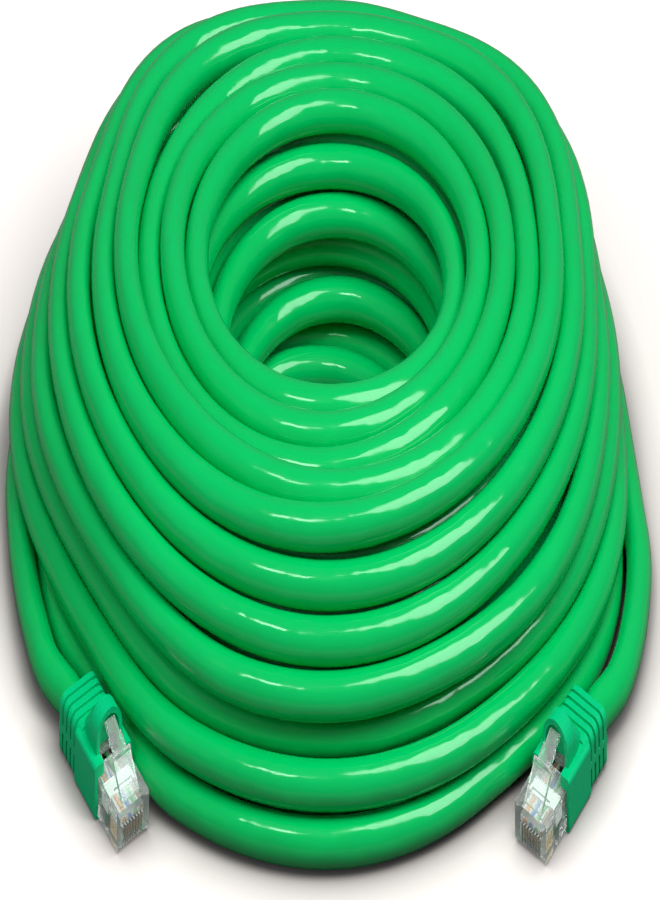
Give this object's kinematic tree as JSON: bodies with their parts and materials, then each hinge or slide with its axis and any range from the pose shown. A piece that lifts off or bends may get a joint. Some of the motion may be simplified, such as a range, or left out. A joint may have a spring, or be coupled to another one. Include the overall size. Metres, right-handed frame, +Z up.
{
  "type": "ethernet patch cable",
  "caption": "Long round network cable wound into a beehive coil that stands on its base, with a clear 8P8C plug, sprung latch and snagless boot on each end.",
  "frame": {"origin": "on the floor, at the middle of the coil", "axes": "+Z up along the coil's axis, +Y to the coil's back, so both plugs point towards -Y, +X to the right plug"},
  "size_m": [0.2108, 0.2132, 0.0488],
  "materials": {
    "jacket_green": "glossy extruded PVC jacket",
    "boot_green": "satin moulded soft PVC",
    "clear_polycarbonate": "clear moulded polycarbonate",
    "frosted_plastic": "translucent moulded plastic",
    "gold_contacts": "gold plated, bright",
    "white_filler": "extruded polyethylene",
    "wire_orange": "extruded wire insulation",
    "wire_green": "extruded wire insulation",
    "wire_blue": "extruded wire insulation",
    "wire_brown": "extruded wire insulation"
  },
  "bodies": {
    "cable": {"coil_winding": "jacket_green", "coil_core": "jacket_green", "left_lead": "jacket_green", "right_lead": "jacket_green", "left_housing": "clear_polycarbonate", "left_contacts": "gold_contacts", "left_load_bar": "frosted_plastic", "left_strain_wedge": "clear_polycarbonate", "left_boot": "boot_green", "left_jacket_end": "jacket_green", "left_separator": "white_filler", "left_pair_orange": "wire_orange", "left_pair_green": "wire_green", "left_pair_blue": "wire_blue", "left_pair_brown": "wire_brown", "right_housing": "clear_polycarbonate", "right_contacts": "gold_contacts", "right_load_bar": "frosted_plastic", "right_strain_wedge": "clear_polycarbonate", "right_boot": "boot_green", "right_jacket_end": "jacket_green", "right_separator": "white_filler", "right_pair_orange": "wire_orange", "right_pair_green": "wire_green", "right_pair_blue": "wire_blue", "right_pair_brown": "wire_brown"},
    "left_latch_arm": {"left_latch": "clear_polycarbonate"},
    "right_latch_arm": {"right_latch": "clear_polycarbonate"}
  },
  "joints": [
    {"name": "left_latch_press", "type": "hinge", "parent": "cable", "child": "left_latch_arm", "pos_m": [-0.0622, -0.09576, 0.0078], "axis": [-0.8251, -0.565, 0], "range_deg": [0, 18], "stiffness_Nm_per_rad": 0.3},
    {"name": "right_latch_press", "type": "hinge", "parent": "cable", "child": "right_latch_arm", "pos_m": [0.06318, -0.09879, 0.0078], "axis": [-0.8039, 0.5948, 0], "range_deg": [0, 18], "stiffness_Nm_per_rad": 0.3}
  ]
}
